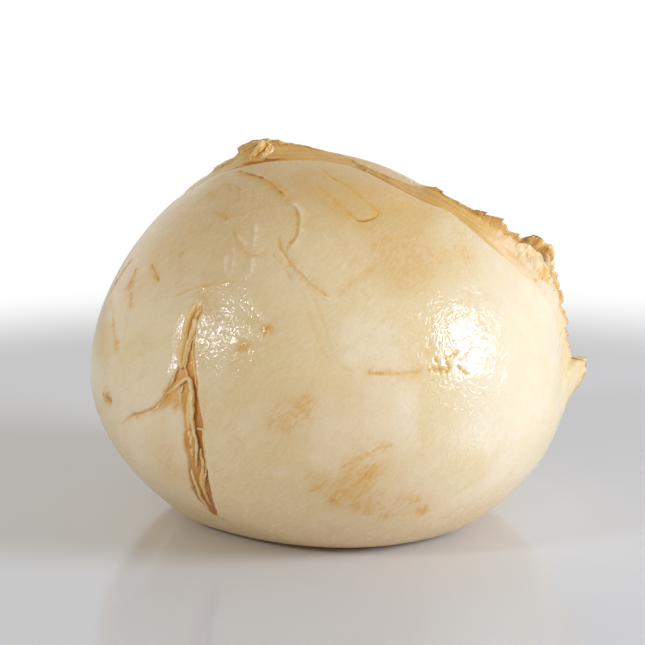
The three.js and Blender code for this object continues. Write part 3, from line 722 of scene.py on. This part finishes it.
# Darker brown in the deepest part of the lap near its right side: partly the fold's own brown, partly
# painted shade.
deepest_and_shaded = (groove - 0.5) * 2.2 + 1.15 - worked("ABSOLUTE", lap_across - 0.3) * 1.6
lap_colour = groove.rise(0.4, 0.65).blend(FOLD_TAN, FOLD_BROWN)
lap_colour = deepest_and_shaded.rise(0.25, 1.2).blend(lap_colour, FOLD_DEEP_BROWN_AND_SHADE)
lap_colour = ((1.0 - groove).rise(0.52, 0.66) * 0.5).blend(lap_colour, WARM_CREAM)
lap_colour = ((1.0 - lap_along.rise(8.0, 32.0)) * 0.7).blend(lap_colour, FOLD_LIGHT)
lap_colour = (lap_along.rise(28.0, 48.0) * 0.8).blend(lap_colour, STAIN_AND_SHADE_BROWN)
colour = (fold * (0.8 + 0.4 * middling)).rise(0.05, 0.75).blend(colour, lap_colour)
dot = place.speckle(2.2, 1, 0.4)
colour = (dot.rise(0.74, 0.8) * middling.rise(0.45, 0.6) * 0.5).blend(colour, STAIN_AND_SHADE_GOLD)
feed(skin_shader, "Base Color", colour)
wet = named(start, "wrinkled")
feed(skin_shader, "Roughness", 0.22 - 0.13 * wet.rise(0.0, 0.7) + 0.03 * (middling - 0.5) + 0.2 * band)
crease = place.speckle(0.42, 2, 0.5, 1.2)
crease = (1.0 - worked("ABSOLUTE", crease - 0.5) * 8.0).rise(0.0, 1.0)
swell = place.speckle(0.3, 2, 0.5, 0.8)
cloth = (place * (0.5, 0.5, 1.0)).speckle(0.5, 4, 0.6, 1.0)
crinkle = 1.0 - worked("ABSOLUTE", place.speckle(0.9, 2, 0.5, 0.8) * 2.0 - 1.0)
leftward = (0.0 - across).rise(-4.0, 4.0)
creased = (0.26 + 0.06 * leftward) * crease + 0.5 * swell + 0.3 * leftward * crinkle
relief = creased * wet + (0.3 * cloth + 0.22 * strokes) * (1.0 - 0.7 * wet)
feed(skin_shader, "Normal", relief.bump(1.0, SKIN_RELIEF))


def noted(start, name):
    """A number noted on each point of a mesh, read by a Geometry Nodes tree."""
    return start.node("GeometryNodeInputNamedAttribute", {"data_type": "FLOAT"}, {"Name": name})


def stored(geometry, name, value):
    """A geometry with a number noted on each of its points by a Geometry Nodes tree."""
    settings = {"data_type": "FLOAT", "domain": "POINT"}
    values = {"Geometry": geometry, "Name": name, "Value": value}
    return geometry.node("GeometryNodeStoreNamedAttribute", settings, values)


DENTS = {"Dent Depth": 0.35, "Dent Spacing": 14.0, "Wrinkle Depth": 0.18, "Wrinkle Spacing": 3.4}
form, inputs = new_tree("ball form", {**BALL, **DENTS})
start = inputs["Geometry"]
point = start.node("GeometryNodeInputPosition")
dent = (point * (UNIT_BALL_RADIUS / inputs["Dent Spacing"])).speckle(1.0, 3, 0.5) - 0.5
wrinkle = (point * (UNIT_BALL_RADIUS / inputs["Wrinkle Spacing"])).speckle(1.0, 1, 0.5, 0.8) - 0.5
wrinkled = noted(start, "wrinkled")
dents = inputs["Dent Depth"] * dent * (1.0 - 0.8 * wrinkled)
wrinkles = inputs["Wrinkle Depth"] * wrinkle * (0.1 + wrinkled)
dented = point * (1.0 + (dents + wrinkles) / UNIT_BALL_RADIUS)
placed = start.node("GeometryNodeSetPosition", {}, {"Geometry": start, "Position": on_skin(dented, inputs)})
close_tree(placed, skin)

net = ball_net()
carve(net)
ball = grown("cheese_ball_skin", net, form, {**BALL, **DENTS})
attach(ball, "root")
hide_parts("cheese_ball")


# The strands in the lap
# Drawn-out ropes of skin that bunched up in the lap when the curd was folded, dried brown with paler ridges,
# whose pale crests are partly painted highlight.
# They lie in the lap, joined to its floor, and the dome's edge hangs over them on the right.

STRAND_SIZES = {"Steps": 60, "Sides": 14, "Flatness": 1.0, "Unevenness": 0.6, "Wander": 0.9, "Seed": 1.0}

# Path as azimuth and elevation, half width, how far its middle is sunk below the skin, flatness, and how
# pale its ridge is, which is partly painted highlight
STRANDS = [
    ([(-37, 30.5), (-38.5, 28.5), (-38.5, 20.5), (-38.5, 18), (-37.5, 15)], 0.72, 0.35, 1.0, 0.3),
    ([(-35.5, 30), (-36.5, 27.5), (-36, 25.5), (-37, 20.5), (-37, 15.5)], 0.6, 0.35, 1.1, 0.45),
    ([(-36, 22.5), (-36.5, 18), (-36.5, 15.5), (-35.5, 13.5)], 0.36, 0.4, 1.1, 0.55),
    ([(-36, 25), (-35.5, 21.5), (-33.5, 14.5), (-32, 9)], 0.28, 0.45, 1.2, 0.4),
    ([(-36.5, 12.5), (-35, 13), (-34, 11.5), (-33.5, 9), (-33, 2.5), (-32, -2.5), (-33, -8)],
     0.5, 0.2, 1.2, 1.0),
    ([(-32, 1.5), (-31, 1.5), (-30, 1), (-30, -4), (-30, -7.5), (-31, -10.5), (-32.5, -14)],
     0.32, 0.4, 1.3, 0.7),
    ([(-35, -9.5), (-35, -14.5), (-35.5, -17.5), (-36.5, -25.5)], 0.4, 0.35, 1.2, 0.8),
    ([(-35.5, 13.5), (-38, 11), (-41, 8.5)], 0.5, 0.4, 0.8, 0.4),
    ([(-36.5, 11), (-37, 9), (-37.5, 6.5)], 0.28, 0.5, 1.0, 0.8),
    ([(-34.5, 10), (-34.5, 2), (-34, -1.5), (-34.5, -8.5)], 0.9, 0.8, 0.6, 0.2),
    ([(-38.5, 16.5), (-39.5, 13.5), (-40.5, 10.5), (-43, 6), (-45.5, 3.5)], 0.45, 0.35, 0.6, 0.4),
    ([(-31.5, -3.5), (-31.5, -8.5), (-33, -13), (-34, -18), (-34.5, -22.5)], 0.6, 0.65, 0.7, 0.15),
]

RIDGE_CREAM_AND_HIGHLIGHT = tone(255, 230, 180)
STRAND_TAN = tone(254, 214, 138)
DRIED_RELIEF = 0.0005

strand_skin, strand_shader, start = new_material("strand_skin", {
    "Roughness": 0.13,
    "IOR": 1.5,
})
place = in_millimetres(start)
patch = place.speckle(0.35, 3, 0.6, 0.5)
height = place.parts()[2]
base = height.rise(24.0, 46.0).blend(FOLD_BROWN, FOLD_LIGHT)
low = (26.0 - height).rise(0.0, 14.0)
base = (low * 0.8).blend(base, STAIN_AND_SHADE_BROWN)
crest = (low * 0.6).blend(STRAND_TAN, FOLD_TAN)
# Paler crest, browner flanks: partly the ropes' own colour, partly painted highlight on the crest and
# painted shade down the flanks.
ridge = named(start, "ridge")
colour = (ridge + (patch - 0.5) * 0.9).rise(-0.5, 0.6).blend(base, crest)
pale = (ridge + (patch - 0.5) * 1.2).rise(0.15, 0.9) * named(start, "pale")
colour = pale.blend(colour, RIDGE_CREAM_AND_HIGHLIGHT)
feed(strand_shader, "Base Color", colour)
grain = (place * (1.0, 1.0, 0.22)).speckle(1.8, 3, 0.6, 0.8)
feed(strand_shader, "Normal", grain.bump(0.8, DRIED_RELIEF))

twist, inputs = new_tree("skin strand", STRAND_SIZES)
start = inputs["Geometry"]
half_width = noted(start, "half_width")
curve = start.node("GeometryNodeMeshToCurve", {}, {"Mesh": start})
curve = curve.node("GeometryNodeCurveSplineType", {"spline_type": "CATMULL_ROM"}, {"Curve": curve})
values = {"Curve": curve, "Count": inputs["Steps"]}
curve = curve.node("GeometryNodeResampleCurve", {"mode": "COUNT"}, values)
ring = start.node("GeometryNodeCurvePrimitiveCircle", {}, {"Resolution": inputs["Sides"], "Radius": 1.0})
values = {"Curve": curve, "Profile Curve": ring, "Scale": half_width / UNIT_BALL_RADIUS, "Fill Caps": True}
tube = curve.node("GeometryNodeCurveToMesh", {}, values)
point = start.node("GeometryNodeInputPosition")
up = (worked("LENGTH", point) - 1.0) * UNIT_BALL_RADIUS
spot = point * 40.0 + inputs["Seed"] * 7.3
knot = spot.speckle(1.0, 3, 0.6) - 0.5
sway = start.node("ShaderNodeTexNoise", {}, {"Vector": spot, "Scale": 0.9, "Detail": 3.0}, "Color") - 0.5
point = point + sway * (inputs["Wander"] / UNIT_BALL_RADIUS)
length = worked("LENGTH", point)
lift = up * inputs["Flatness"] - noted(start, "sunk") + knot * inputs["Unevenness"]
tube = stored(tube, "ridge", up / half_width)
laid = on_skin(point / length * (1.0 + lift / UNIT_BALL_RADIUS), BALL)
tube = tube.node("GeometryNodeSetPosition", {}, {"Geometry": tube, "Position": laid})
close_tree(tube, strand_skin)


def path_mesh(name, stops, half_width, sunk, pale):
    """A line of edges on the unit ball, with a width that tapers to both ends, a depth and a paleness."""
    line = smooth_path(stops, 6)
    mesh = bpy.data.meshes.new(name)
    mesh.from_pydata(line.tolist(), [(first, first + 1) for first in range(len(line) - 1)], [])
    run = np.linspace(0, 1, len(line))
    taper = half_width * (0.25 + 0.75 * np.sin(np.pi * np.clip(run, 0.01, 0.99)) ** 0.4)
    taper = taper * (1 + 0.35 * waver(run, 0.13, int(1000 * half_width) + len(line)))
    depth = np.interp(run, np.linspace(0, 1, np.size(sunk)), np.atleast_1d(sunk))
    note(mesh, {"half_width": taper, "sunk": depth, "pale": np.full(len(line), pale)})
    return mesh


def joined(name, pieces):
    """One object from several."""
    with bpy.context.temp_override(active_object=pieces[0], selected_editable_objects=pieces):
        bpy.ops.object.join()
    pieces[0].name = name
    return pieces[0]


ropes = []
for number, (stops, half_width, sunk, flatness, pale) in enumerate(STRANDS):
    sizes = {**STRAND_SIZES, "Flatness": flatness, "Seed": float(number)}
    line = path_mesh(f"strand_{number}", stops, half_width, sunk, pale)
    ropes.append(grown(line.name, line, twist, sizes))
strands = joined("lap_strands", ropes)
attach(strands, "root")


# The torn sheets on the seam
# Thin dried skin that tore and ruffled up where the ball was pinched off, golden with browned edges.
# Each sheet grows out of the band behind the dome's edge, and they stand one behind another.

SHEET_SIZES = {
    "Sunk": 1.5, "Thickness": 0.75, "Crumple": 0.5, "Crumple Spacing": 3.0, "Pleat": 0.16,
    "Pleat Spacing": 1.5, "Bulge": 0.3, "Tear": 0.35, "Tear Spacing": 1.5, "Seed": 1.0,
}
COLUMNS_PER_STOP = 7
SHEET_LOOP = 28
SHEET_END_SHARE = 0.06
MERGE_DISTANCE = 0.00001
DEGREE = math.pi / 180

# Stops along each sheet: degrees round the seam and behind the dome's edge at its foot, the same at its top,
# its height in millimetres, and how brown it dried (whiter below 0, which on the front of the ruffle is
# partly its own pale skin and partly painted light and glints)
COLLAR = [
    (-31, 7.4, -31, 8.6, 0.5, 0.5), (-30, 7.2, -30, 8.4, 1.3, 0.8), (-29, 7, -29, 8.4, 1.4, 0.5),
    (-26.5, 7, -26.5, 8.4, 1.6, 0.4), (-24, 7, -23.5, 8.4, 1.9, 0.4), (-22.5, 7, -21.5, 8.4, 2.8, 0.5),
    (-21.5, 7, -22, 8.4, 3.4, 0.6), (-20.5, 7, -20.5, 8.4, 3.9, 0.6), (-18, 7, -18, 8.4, 4.3, 0.5),
    (-14, 7, -14, 8.4, 4.1, 0.4), (-13.5, 7, -13.5, 8.4, 3.7, 0.6), (-12, 7, -12, 8.4, 3.6, 0.6),
    (-10.5, 7, -10.5, 8.4, 2.8, 0.6), (-8.5, 7, -8.5, 8.4, 2.4, 0.6), (-5, 7, -5, 8.4, 1.8, 0.6),
    (-3, 7, -3, 8.4, 1.3, 0.6), (0, 7, 0, 8.4, 0.8, 0.5), (4, 7, 4, 8.4, 0.3, 0.4),
]
COLLAR_FOLD = [
    (-22, 6, -21.5, 7.2, 0.8, 0.4), (-20.5, 5.6, -20, 7.4, 2.6, 0.5), (-19, 5.2, -18, 7.5, 3.2, 0.7),
    (-18, 5, -16, 7.6, 3.5, 0.7), (-16, 5, -14.5, 7.7, 3.2, 0.5), (-14.5, 5.4, -13, 7.6, 2.8, 0.3),
    (-12, 6, -11.5, 7.4, 1.4, 0.3),
]
CREST = [
    (25, 7.2, 25, 8.6, 0.2, 0.5), (27.5, 7.2, 27.5, 8.6, 0.8, 0.6), (30.5, 7.2, 30.5, 8.6, 1.9, 0.7),
    (32, 7.2, 32.5, 8.6, 2, 0.9), (32.5, 7.2, 32.5, 8.6, 1.5, 0.8), (34.5, 7.2, 34.5, 8.6, 1.7, 0.6),
    (38.5, 7.2, 38.5, 8.6, 2.2, 0.7), (41, 7.2, 41, 8.6, 2.5, 0.8), (41.5, 7.2, 42, 8.6, 3.2, 0.9),
    (42.5, 7.2, 44, 8.6, 3.9, 1), (43.5, 7.2, 43.5, 8.6, 3.2, 1), (44.5, 7.2, 45.5, 8.6, 4.1, 0.8),
    (46.5, 7.2, 48, 8.8, 5.3, 0.8), (47.5, 7.2, 48, 8.6, 4.6, 0.7), (49.5, 7.2, 49.5, 8.6, 4.3, 0.6),
    (50.5, 7.2, 51, 8.6, 3.9, 0.7), (52, 7.2, 53.5, 8.8, 5.1, 0.8), (53, 7.2, 53.5, 8.6, 4.5, 0.8),
    (54.5, 7.2, 55, 8.6, 4.6, 0.6),
]
CREST_BACK = [
    (44.5, 9, 45, 9.8, 1.5, 0.6), (46.5, 9, 47.5, 9.8, 4, 0.9), (48.5, 9, 50, 9.8, 4.4, 0.5),
    (50, 9, 51, 9.8, 3, 0.5), (51.5, 9, 52, 9.8, 1.2, 0.4),
]
BAND_RIDGE = [
    (-3, 7.4, -3, 8.4, 1, 0.6), (1, 7.2, 1, 8, 0.6, 0.6), (4.5, 6.6, 4.5, 7.8, 0.4, 0.6),
    (7.5, 5.2, 7.5, 6, 0.05, 0.6), (9.5, 4, 9.5, 4.9, -0.05, 0.6), (12, 2.6, 12, 3.3, -0.1, 0.6),
    (16, 2.2, 16, 2.9, -0.1, 0.7), (20.5, 2.8, 20.5, 3.6, -0.1, 0.7), (24, 4.4, 24, 5.3, -0.05, 0.7),
    (26.5, 6, 26.5, 7.2, 0.2, 0.8), (29, 7, 29, 8.2, 1, 0.8), (31.5, 7.2, 31.5, 8.4, 1.4, 0.7),
]
RUFFLE = [
    (54, 7, 54, 9.4, 3, 0.4), (55, 7, 55, 9.6, 4.8, 0.6), (56, 7, 55.5, 9.6, 5.8, 0.9),
    (57, 7, 56, 9.6, 6.8, 1), (58, 7, 57, 9.6, 7.3, 1), (59, 7, 58, 9.6, 7.6, 0.9),
    (60, 7, 59.5, 9.6, 7.4, 0), (61.5, 7, 60.5, 9.6, 8.2, 0), (62.5, 7, 61, 9.6, 8, 0),
    (63.5, 7, 63, 9.6, 7.2, -0.1), (65, 7, 64.5, 9.6, 6.4, -0.1), (65.5, 7, 65.5, 9.6, 6.4, 0.1),
    (66.5, 7, 66, 9.6, 6.2, 0.1), (67.5, 7, 67, 9.6, 5.3, 0), (69, 7, 69, 9.6, 5.5, 0.1),
    (70, 7, 69.5, 9.6, 4.7, 0), (71.5, 7, 71.5, 9.6, 4.7, 0.2), (73, 7, 72.5, 9.4, 4.2, 0.2),
]
RUFFLE_FRONT = [
    (53.5, 4.6, 53.5, 7.6, 2.4, -0.2), (55, 4.5, 55, 8, 3.8, -0.1), (56.5, 4.5, 56, 8.2, 4.6, -0.1),
    (58, 4.5, 57, 8.2, 5, -0.1), (59.5, 4.5, 59, 8.2, 5.1, -0.1), (61.5, 4.5, 61, 8.2, 5.5, -0.2),
    (63, 4.5, 62.5, 8.2, 5.1, -0.2), (64.5, 4.5, 64, 8.2, 4.8, -0.1), (65.5, 4.5, 65.5, 8.1, 5, 0),
    (67, 4.5, 66.5, 8, 4.1, 0), (68.5, 4.5, 68, 8, 4.3, 0), (70, 4.6, 70, 7.8, 3.6, 0),
    (71.5, 4.7, 71.5, 7.7, 3.3, 0),
]
RUFFLE_BACK = [
    (57, 10.5, 57, 12, 4.5, 0.5), (59.5, 10.5, 59.5, 12.2, 6.8, 0.5), (62, 10.5, 62, 12.2, 7.4, 0.4),
    (64.5, 10.5, 64.5, 12.2, 6.6, 0.4), (66.5, 10.5, 66.5, 12.2, 6, 0.5), (68, 10.5, 68, 12.2, 4.8, 0.4),
    (70, 10.5, 70, 12, 5, 0.5), (72, 10.5, 72, 12, 3, 0.4),
]
SCALLOPS = [
    (71.5, 6.6, 72, 8.2, 3.8, 0.3), (72.5, 6.6, 72.5, 8.2, 4.5, 0.4), (74, 6.6, 74, 8.2, 4.3, 0.4),
    (75.5, 6.6, 75.5, 8.2, 3.8, 0.4), (76.5, 6.6, 76.5, 8.2, 2.9, 0.4), (78.5, 6.6, 78.5, 8.2, 3.4, 0.5),
    (79.5, 6.6, 79.5, 8.2, 3, 0.5), (81, 6.6, 81.5, 8.2, 3.4, 0.6), (82, 6.6, 82, 8.2, 3.3, 0.6),
    (82.5, 6.6, 82.5, 8.2, 1.9, 0.4), (83.5, 6.6, 83.5, 8.2, 2.4, 0.5), (85, 6.6, 85, 8.2, 2.8, 0.6),
    (85.5, 6.6, 85.5, 8.2, 1.8, 0.4), (86.5, 6.6, 86.5, 8.2, 2, 0.4), (87.5, 6.6, 87.5, 8.2, 2.3, 0.5),
    (89, 6.6, 89, 8.2, 2.4, 0.4), (90.5, 6.6, 90.5, 8.2, 2.7, 0.4), (91.5, 6.6, 91.5, 8.2, 3, 0.4),
]
FIN = [
    (91, 7.2, 91, 8.2, 2.4, 0.6), (91.5, 7.2, 91.5, 8.2, 4.2, 0.9), (92, 7.2, 91.5, 8.2, 5.6, 1),
    (93, 7.2, 93, 8.2, 5.4, 0.7), (95.5, 7.2, 95.5, 8.2, 5.2, 0.6), (98, 7.2, 98, 8.2, 4.1, 0.5),
    (99.5, 7.2, 99.5, 8.2, 3.2, 0.4), (101, 7.2, 101, 8.2, 2.3, 0.3), (103, 7.2, 103, 8.2, 1.4, 0.3),
    (105, 7.2, 105, 8.2, 0.5, 0.2),
]
SMOOTH_EDGE = {"Crumple": 0.2, "Pleat": 0.05, "Tear": 0.2, "Bulge": 0.1}
SHEETS = [
    (COLLAR, {"Pleat": 0.08, "Tear": 0.25}),
    (COLLAR_FOLD, {"Bulge": -0.5, "Crumple": 0.7}),
    (CREST, {"Crumple": 0.35, "Pleat": 0.08, "Tear": 0.25}),
    (CREST_BACK, {"Tear": 0.4}),
    (BAND_RIDGE, {"Crumple": 0.4, "Tear": 0.35, "Bulge": 0.1}),
    (RUFFLE, {"Crumple": 0.7, "Pleat": 0.35, "Pleat Spacing": 1.3}),
    (RUFFLE_FRONT, {
        "Crumple": 0.8, "Crumple Spacing": 2.4, "Pleat": 0.18, "Pleat Spacing": 1.2, "Tear": 0.2,
    }),
    (RUFFLE_BACK, {"Crumple": 0.9, "Tear": 0.7}),
    (SCALLOPS, {"Crumple": 0.5, "Tear": 0.3}),
    (FIN, SMOOTH_EDGE),
]

# Rolled edges: path as azimuth and elevation, half width, and how far it is sunk below the skin along its
# length (what stands above the skin is below 0)
ROLLS = [
    ([(-96.5, 71.5), (-96, 72.5), (-95.5, 74), (-95, 75.5), (-94.5, 77)],
     1.0, [-0.4, -1.3, -2.3, -3.2, -3.6]),
    ([(-97, 74.5), (-97, 75.5), (-96.5, 76.5), (-96.5, 77.5)], 0.55, [-0.2, -1.4, -2.4, -3.2]),
    ([(81, 34), (81.5, 33.5), (82, 32.5), (83, 31), (83, 30.5)], 0.6, [-7.5, -7.7, -7.2, -6.4, -5.6]),
    ([(90.5, 6.5), (90.5, 6), (90.5, 5.5)], 0.35, [-2.4, -3.7, -5]),
]
ROLL_PALENESS = 0.3

SHEET_GOLD = tone(250, 202, 124)
SHEET_PALE = tone(255, 230, 180)
SHEET_WHITE_AND_PAINTED_LIGHT = tone(255, 238, 202)
SHEET_TAN = tone(230, 178, 100)
SHEET_BROWN = tone(188, 130, 60)
SHADE_SIDE_COOLING = (0.95, 0.97, 1.0, 1.0)
WHITE = (1.0, 1.0, 1.0, 1.0)

sheet_skin, sheet_shader, start = new_material("sheet_skin", {
    "Roughness": 0.18,
    "IOR": 1.5,
})
place = in_millimetres(start)
patch = place.speckle(0.22, 4, 0.6, 0.6)
fleck = place.speckle(0.9, 3, 0.6)
colour = patch.rise(0.35, 0.65).blend(SHEET_PALE, SHEET_GOLD)
browned = named(start, "browned")
up = named(start, "up")
mottle = (patch - 0.5) * 0.9 + (fleck - 0.5) * 0.5
edge = browned * (0.2 + 0.8 * up) + mottle * (0.3 + browned)
colour = edge.rise(0.15, 0.7).blend(colour, SHEET_TAN)
colour = edge.rise(0.6, 1.15).blend(colour, SHEET_BROWN)
# Whiter where browned is below 0: on the ruffle's front partly its own pale skin, partly painted light and
# glints.
colour = (0.0 - browned).rise(0.0, 0.35).blend(colour, SHEET_WHITE_AND_PAINTED_LIGHT)
foot_around = named(start, "foot_around")
# Paler towards the collar's left end on the upper left limb: partly its own paler skin, partly painted rim
# light.
colour = ((0.0 - foot_around).rise(20.0, 28.0) * 0.75).blend(colour, SHEET_PALE)
# Sheets on the left, in the key light's shade, are made cooler to offset the warm room light there: painted
# shade.
colour = colour * foot_around.rise(10.0, 45.0).blend(SHADE_SIDE_COOLING, WHITE)
feed(sheet_shader, "Base Color", colour)
slant = foot_around * 0.6
crease = vector_of(slant + up * 2.0, up * 1.4 - slant * 0.5, named(start, "foot_behind"))
crease = 1.0 - worked("ABSOLUTE", crease.speckle(1.0, 2, 0.5, 0.8) * 2.0 - 1.0)
feed(sheet_shader, "Normal", crease.bump(0.8, DRIED_RELIEF))

ruffle, inputs = new_tree("torn sheet", SHEET_SIZES)
start = inputs["Geometry"]
loop = noted(start, "loop")
along = noted(start, "along")
up = 1.0 - worked("ABSOLUTE", loop * 2.0 - 1.0)
face = worked("SINE", loop * (2 * math.pi))
ends = (along / SHEET_END_SHARE).rise(0.0, 1.0) * ((1.0 - along) / SHEET_END_SHARE).rise(0.0, 1.0)
around = noted(start, "foot_around") * (1.0 - up) + noted(start, "top_around") * up
behind = noted(start, "foot_behind") * (1.0 - up) + noted(start, "top_behind") * up
length = noted(start, "foot_around") * (DEGREE * UNIT_BALL_RADIUS)
spot = vector_of(length / inputs["Tear Spacing"], inputs["Seed"] * 9.7)
torn = (spot.speckle(1.0, 2, 0.6) - 0.35) * inputs["Tear"] * 2.0
lift = (noted(start, "height") - torn + inputs["Sunk"]) * up - inputs["Sunk"]
spot = vector_of(length, inputs["Seed"] * 31.0, lift)
crush = (spot / inputs["Crumple Spacing"]).speckle(1.0, 2, 0.5)
crush = (crush - 0.5) * 2.0 * inputs["Crumple"]
pleat = (spot * (1.0, 1.0, 0.3) / inputs["Pleat Spacing"]).speckle(1.0, 1, 0.5, 0.6)
pleat = (pleat - 0.5) * 2.0 * inputs["Pleat"]
thick = face * inputs["Thickness"] * 0.5 * (1.0 - 0.4 * up) * worked("SQRT", ends)
bow = inputs["Bulge"] * worked("SINE", up * math.pi)
across = thick + (crush + pleat) * up.rise(0.0, 0.5) * ends + bow * ends
turn = around * DEGREE
swing = worked("COSINE", (around - float(SEAM_WAVE_FIRST)) * (SEAM_WAVE_COUNT * DEGREE))
from_pole = SEAM_ANGLE + SEAM_WAVE_ANGLE * swing - behind
from_pole = from_pole * DEGREE - across / BALL["Half Depth"]
outward = worked("COSINE", turn) * tuple(SEAM_TOP) + worked("SINE", turn) * tuple(SEAM_RIGHT)
way = worked("COSINE", from_pole) * tuple(SEAM_POLE) + worked("SINE", from_pole) * outward
sheet = stored(start, "up", up)
laid = on_skin(way * (1.0 + lift / UNIT_BALL_RADIUS), BALL)
sheet = sheet.node("GeometryNodeSetPosition", {}, {"Geometry": sheet, "Position": laid})
sheet = sheet.node("GeometryNodeMergeByDistance", {}, {"Geometry": sheet, "Distance": MERGE_DISTANCE})
close_tree(sheet, sheet_skin)


def sheet_net(stops):
    """A net of faces for one sheet, out to its torn edge and back, with its stops noted on its points."""
    stops = np.array(stops, float)
    columns = (len(stops) - 1) * COLUMNS_PER_STOP + 1
    along, loop = np.meshgrid(np.linspace(0, 1, columns), np.linspace(0, 1, SHEET_LOOP + 1), indexing="ij")
    along = along.ravel()
    numbers = np.arange(len(along)).reshape(columns, SHEET_LOOP + 1)
    corners = [numbers[:-1, :-1], numbers[1:, :-1], numbers[1:, 1:], numbers[:-1, 1:]]
    faces = np.stack(corners, -1).reshape(-1, 4)
    flat = np.stack([along, loop.ravel(), np.zeros(len(along))], -1)
    mesh = bpy.data.meshes.new("sheet")
    mesh.from_pydata(flat.tolist(), [], faces.tolist())
    notes = {"along": along, "loop": loop.ravel()}
    names = ("foot_around", "foot_behind", "top_around", "top_behind", "height", "browned")
    for column, name in enumerate(names):
        notes[name] = np.interp(along, np.linspace(0, 1, len(stops)), stops[:, column])
    note(mesh, notes)
    return mesh


torn = []
for number, (stops, differs) in enumerate(SHEETS):
    sizes = {**SHEET_SIZES, **differs, "Seed": float(number)}
    torn.append(grown(f"sheet_{number}", sheet_net(stops), ruffle, sizes))
for number, (stops, half_width, sunk) in enumerate(ROLLS):
    sizes = {**STRAND_SIZES, "Seed": 20.0 + number}
    line = path_mesh(f"roll_{number}", stops, half_width, sunk, ROLL_PALENESS)
    torn.append(grown(line.name, line, twist, sizes))
sheets = joined("torn_sheets", torn)
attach(sheets, "root")


# The floor, the light and the camera
# A plain pale floor that runs out into white, a large soft light at the right and a smaller one at the left.
# The camera looks down a little, from the front.

FLOOR_SIZE = 3.0
FLOOR_TONE = tone(226, 225, 227)
FLOOR_FADE = (0.16, 0.24)
ROOM_TONE = (1.13, 1.02, 0.8, 1.0)
AMBIENT = 0.56

floor_finish, floor_shader, start = new_material("pale_floor", {
    "Roughness": 0.12,
    "Base Color": FLOOR_TONE,
})
place = start.node("ShaderNodeTexCoord", {}, {}, "Object")
seen = start.node("ShaderNodeLightPath", {}, {}, "Is Camera Ray")
glow = start.node("ShaderNodeEmission", {}, {"Color": WHITE, "Strength": seen * (1.0 - AMBIENT) + AMBIENT})
far = worked("LENGTH", place).rise(*FLOOR_FADE)
surface = Wire(start.tree, floor_shader.outputs[0])
both = start.node("ShaderNodeMixShader", {}, {0: far, 1: surface, 2: glow})
start.tree.links.new(both.socket, start.tree.nodes["Material Output"].inputs["Surface"])
bpy.ops.mesh.primitive_plane_add(size=FLOOR_SIZE, location=(0, 0, 0))
floor = bpy.context.object
floor.name = "floor"
floor.data.materials.append(floor_finish)

world = bpy.data.worlds.new("soft_room")
world.use_nodes = True
bpy.context.scene.world = world
backdrop = world.node_tree.nodes["Background"]
start = Wire(world.node_tree)
seen = start.node("ShaderNodeLightPath", {}, {}, "Is Camera Ray")
_, deep, up = start.node("ShaderNodeTexCoord", {}, {}, "Generated").parts()
behind = deep.rise(0.4, 0.95)
feed(backdrop, "Color", worked("MAXIMUM", seen, behind).blend(ROOM_TONE, WHITE))
room = AMBIENT * (1.0 - 0.6 * up.rise(0.1, 0.9)) * (1.0 + 0.6 * behind)
world.node_tree.links.new((seen * (1.0 - room) + room).socket, backdrop.inputs["Strength"])


def soft_light(name, way, distance, size, colour, power):
    """A round soft light that faces the middle of the ball from the given direction."""
    light = bpy.data.lights.new(name, "AREA")
    light.shape = "DISK"
    light.size = size
    light.color = colour
    light.energy = power
    lamp = bpy.data.objects.new(name, light)
    middle = np.array([0, 0, BALL["Middle Height"] * MILLIMETRE])
    way = np.array(way) / np.linalg.norm(way)
    lamp.location = middle + way * distance
    lamp.rotation_euler = Vector(way).to_track_quat("Z", "Y").to_euler()
    bpy.context.scene.collection.objects.link(lamp)


LIGHT_DISTANCE = 0.8
soft_light("key", (0.892, -0.29, 0.332), LIGHT_DISTANCE, size=0.34, colour=(0.83, 0.95, 1.17), power=5.0)
soft_light("fill", (-0.72, -0.51, 0.47), LIGHT_DISTANCE, size=0.118, colour=(0.9, 0.98, 1.08), power=1.34)

PHOTO_SIDE = 645
ELEVATION = math.radians(14)
DISTANCE = 0.6
PIXELS_PER_METRE = 4670
MIDDLE_PIXEL = (326, 385)
SENSOR_WIDTH = 36
camera = bpy.data.cameras.new("camera")
focal = PIXELS_PER_METRE * DISTANCE
camera.sensor_width = SENSOR_WIDTH
camera.lens = focal / PHOTO_SIDE * SENSOR_WIDTH
viewer = bpy.data.objects.new("camera", camera)
viewer.location = (
    0,
    -DISTANCE * math.cos(ELEVATION),
    DISTANCE * math.sin(ELEVATION) + BALL["Middle Height"] * MILLIMETRE,
)
tilt = ELEVATION - math.atan((MIDDLE_PIXEL[1] - PHOTO_SIDE / 2) / focal)
turn = math.atan((MIDDLE_PIXEL[0] - PHOTO_SIDE / 2) / focal)
viewer.rotation_euler = (math.pi / 2 - tilt, 0, turn)
bpy.context.scene.collection.objects.link(viewer)
bpy.context.scene.camera = viewer
bpy.context.scene.view_settings.view_transform = "Standard"
